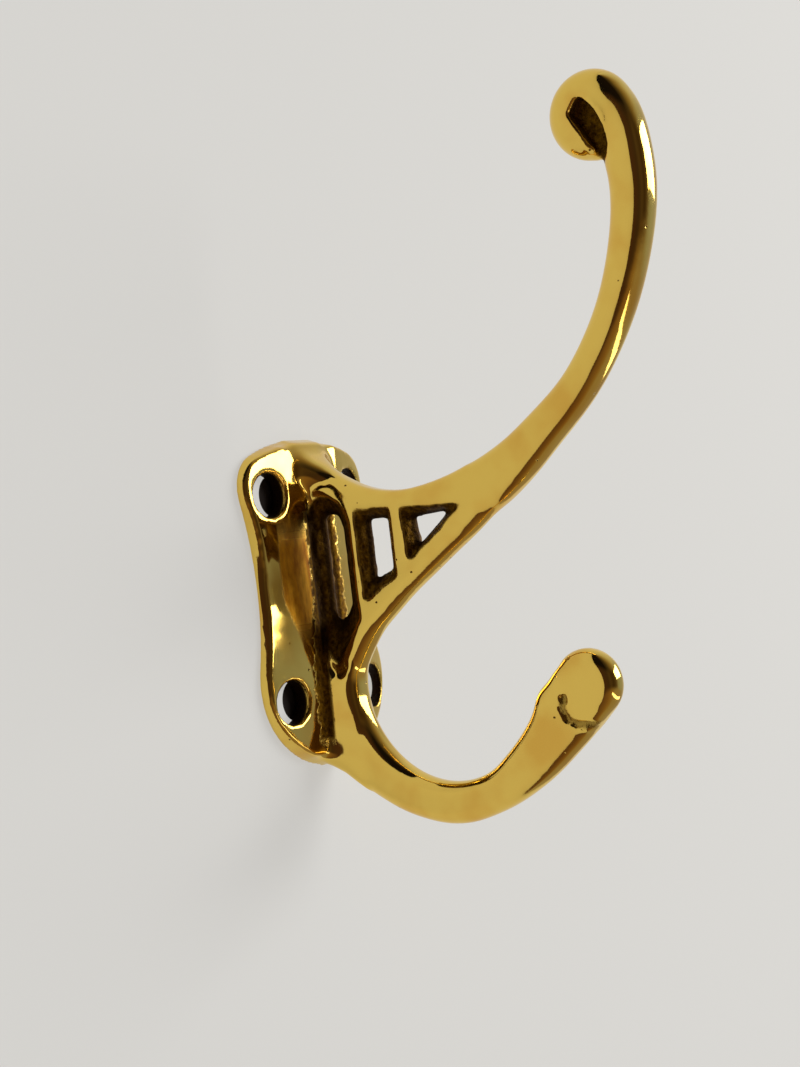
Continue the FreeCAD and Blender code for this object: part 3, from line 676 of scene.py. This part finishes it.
class CastHook(bpy.types.Operator):
    """Builds the buffed casting from the CAD solid"""
    bl_idname = "robe_hook.casting"
    bl_label = "Cast hook"

    def execute(self, context):
        shape = context.scene.hook_shape
        voxel = shape.voxel / MM
        values, low = field_of(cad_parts[NODE], voxel)
        x, y, z = (np.arange(count, dtype=np.float32) * voxel + start * voxel
                   for count, start in zip(values.shape, low))
        view = x[:, None, None], -y[None, :, None], z[None, None, :]
        values = filled(flared(values, *view), *view)
        values = dished(buffed(values, *view, shape), *view, shape)
        values = grained(grooved(values, *view), *view, shape)
        points, quads = surface_of(values, low, voxel)

        mesh = bpy.data.meshes.new("hook_polished")
        mesh.from_pydata((points * MM).tolist(), [], quads[:, ::-1].tolist())
        mesh.validate()
        mesh.shade_smooth()
        spots = points[:, 0], -points[:, 1], points[:, 2]
        # The last layer is painted shade in the holes, on the windows' inner ridges and beside the first
        # window.
        # The second layer is an amber painted reflection on the plate's waist.
        for name, amount in (("cast_skin", unpolished), ("painted_reflection", painted_reflection), ("painted_shade", painted_shade_amount)):
            layer = mesh.attributes.new(name, "FLOAT", "POINT")
            layer.data.foreach_set("value", amount(*spots).astype(np.float32))
        mesh.materials.append(polished_cast_brass(context.scene.hook_finish))
        hook = bpy.data.objects.new("hook_polished", mesh)
        context.scene.collection.objects.link(hook)
        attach(hook, "root")
        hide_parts(NODE)
        return {"FINISHED"}


class Stage(bpy.types.Operator):
    """Builds the wall, the room's light, the lamps and the camera"""
    bl_idname = "robe_hook.stage"
    bl_label = "Stage"

    def execute(self, context):
        scene = context.scene
        scene.view_settings.view_transform = "Standard"

        half, gap = WALL_HALF, WALL_GAP * MM
        corners = [(-half, gap, -half), (half, gap, -half), (half, gap, half), (-half, gap, half)]
        faces = [(0, 1, 2, 3)]
        # Each painted shadow is a dark disc just in front of the wall.
        for across, level in HOLES:
            middle = across - math.copysign(SHADOW_DISC_SHIFT, across)
            faces.append(tuple(range(len(corners), len(corners) + SHADOW_DISC_SIDES)))
            corners += [((middle + SHADOW_DISC * math.cos(turn)) * MM, 0.7 * gap,
                         (level + SHADOW_DISC * math.sin(turn)) * MM)
                        for turn in np.linspace(0, 2 * math.pi, SHADOW_DISC_SIDES, endpoint=False)]
        mesh = bpy.data.meshes.new("wall")
        mesh.from_pydata(corners, [], faces)
        mesh.materials.append(painted_board(scene.hook_finish))
        mesh.materials.append(painted_shadow_board(scene.hook_finish))
        mesh.polygons.foreach_set("material_index", [0] + [1] * len(HOLES))
        wall = bpy.data.objects.new("wall", mesh)
        scene.collection.objects.link(wall)

        scene.world = studio()
        for lamp in LAMPS:
            scene.collection.objects.link(softbox(*lamp))
        scene.camera = photo_camera()
        scene.collection.objects.link(scene.camera)
        return {"FINISHED"}


class RobeHookPanel(bpy.types.Panel):
    """Lists the hook's sizes, colours and operators"""
    bl_idname = "VIEW3D_PT_robe_hook"
    bl_label = "Robe Hook"
    bl_space_type = "VIEW_3D"
    bl_region_type = "UI"
    bl_category = "Robe Hook"

    def draw(self, context):
        for group in (context.scene.hook_shape, context.scene.hook_finish):
            for name in group.__annotations__:
                self.layout.prop(group, name)
        self.layout.operator(CastHook.bl_idname)
        self.layout.operator(Stage.bl_idname)


CLASSES = (HookShape, HookFinish, CastHook, Stage, RobeHookPanel)


def register():
    for item in CLASSES:
        bpy.utils.register_class(item)
    bpy.types.Scene.hook_shape = bpy.props.PointerProperty(type=HookShape)
    bpy.types.Scene.hook_finish = bpy.props.PointerProperty(type=HookFinish)


def unregister():
    del bpy.types.Scene.hook_shape
    del bpy.types.Scene.hook_finish
    for item in reversed(CLASSES):
        bpy.utils.unregister_class(item)


def main():
    register()
    bpy.ops.robe_hook.casting()
    bpy.ops.robe_hook.stage()


if __name__ == "__main__":
    main()
